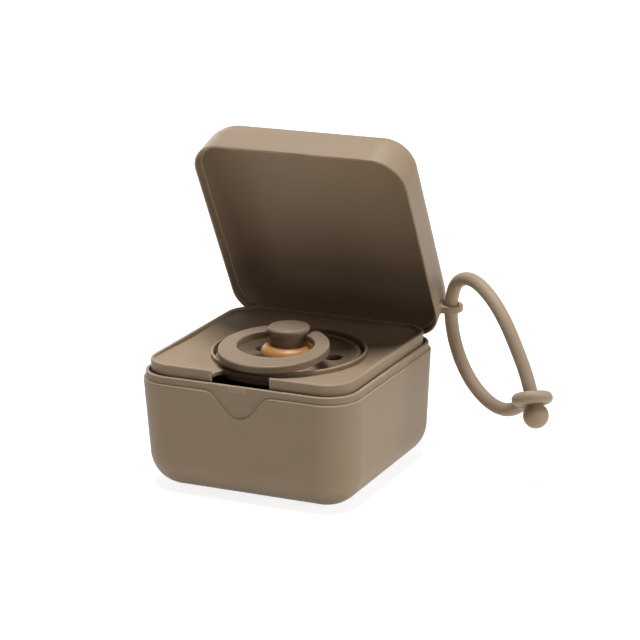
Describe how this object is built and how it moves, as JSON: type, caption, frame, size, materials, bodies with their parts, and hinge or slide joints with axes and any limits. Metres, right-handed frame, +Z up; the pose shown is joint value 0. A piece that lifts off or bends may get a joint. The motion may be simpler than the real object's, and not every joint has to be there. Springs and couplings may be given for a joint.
{
  "type": "pacifier case",
  "caption": "Rounded square travel case with a hinged lid, a lift-out tray that holds a soother, and a silicone strap on an eyelet.",
  "frame": {"origin": "centre of the base's underside", "axes": "+X along the front to the side with the eyelet, -Y the front, +Z up"},
  "size_m": [0.1215, 0.0887, 0.1079],
  "materials": {
    "base_shell": "fine satin",
    "lid_shell": "fine satin",
    "hinge_pin": "drawn",
    "insert_tray": "fine satin",
    "soother_shield": "satin",
    "soother_teat": "smooth latex",
    "soother_knob": "satin",
    "soother_handle": "satin",
    "strap_cord": "matte silicone",
    "strap_ball": "matte silicone",
    "strap_collar": "matte silicone"
  },
  "bodies": {
    "base": {"base_shell": "base_shell", "hinge_pin": "hinge_pin"},
    "lid": {"lid_shell": "lid_shell"},
    "tray": {"insert_tray": "insert_tray"},
    "soother": {"soother_shield": "soother_shield", "soother_teat": "soother_teat", "soother_knob": "soother_knob"},
    "ring": {"soother_handle": "soother_handle"},
    "strap": {"strap_cord": "strap_cord", "strap_ball": "strap_ball", "strap_collar": "strap_collar"}
  },
  "joints": [
    {"name": "lid_hinge", "type": "hinge", "parent": "base", "child": "lid", "pos_m": [0, 0.03855, 0.0356], "axis": [-1, 0, 0], "range_deg": [-63, 42]},
    {"name": "tray_lift", "type": "slide", "parent": "base", "child": "tray", "axis": [0, 0, 1], "range_m": [0, 0.02]},
    {"name": "soother_lift", "type": "slide", "parent": "tray", "child": "soother", "axis": [0, 0, 1], "range_m": [0, 0.032]},
    {"name": "ring_pivot", "type": "hinge", "parent": "soother", "child": "ring", "pos_m": [0, 0, 0.0449], "axis": [-0.9986, -0.0523, 0], "range_deg": [0, 185]},
    {"name": "strap_swivel", "type": "hinge", "parent": "lid", "child": "strap", "pos_m": [0.03988, 0.03975, 0.04777], "axis": [0, -0.0349, 0.9994], "range_deg": [0, 60]}
  ]
}
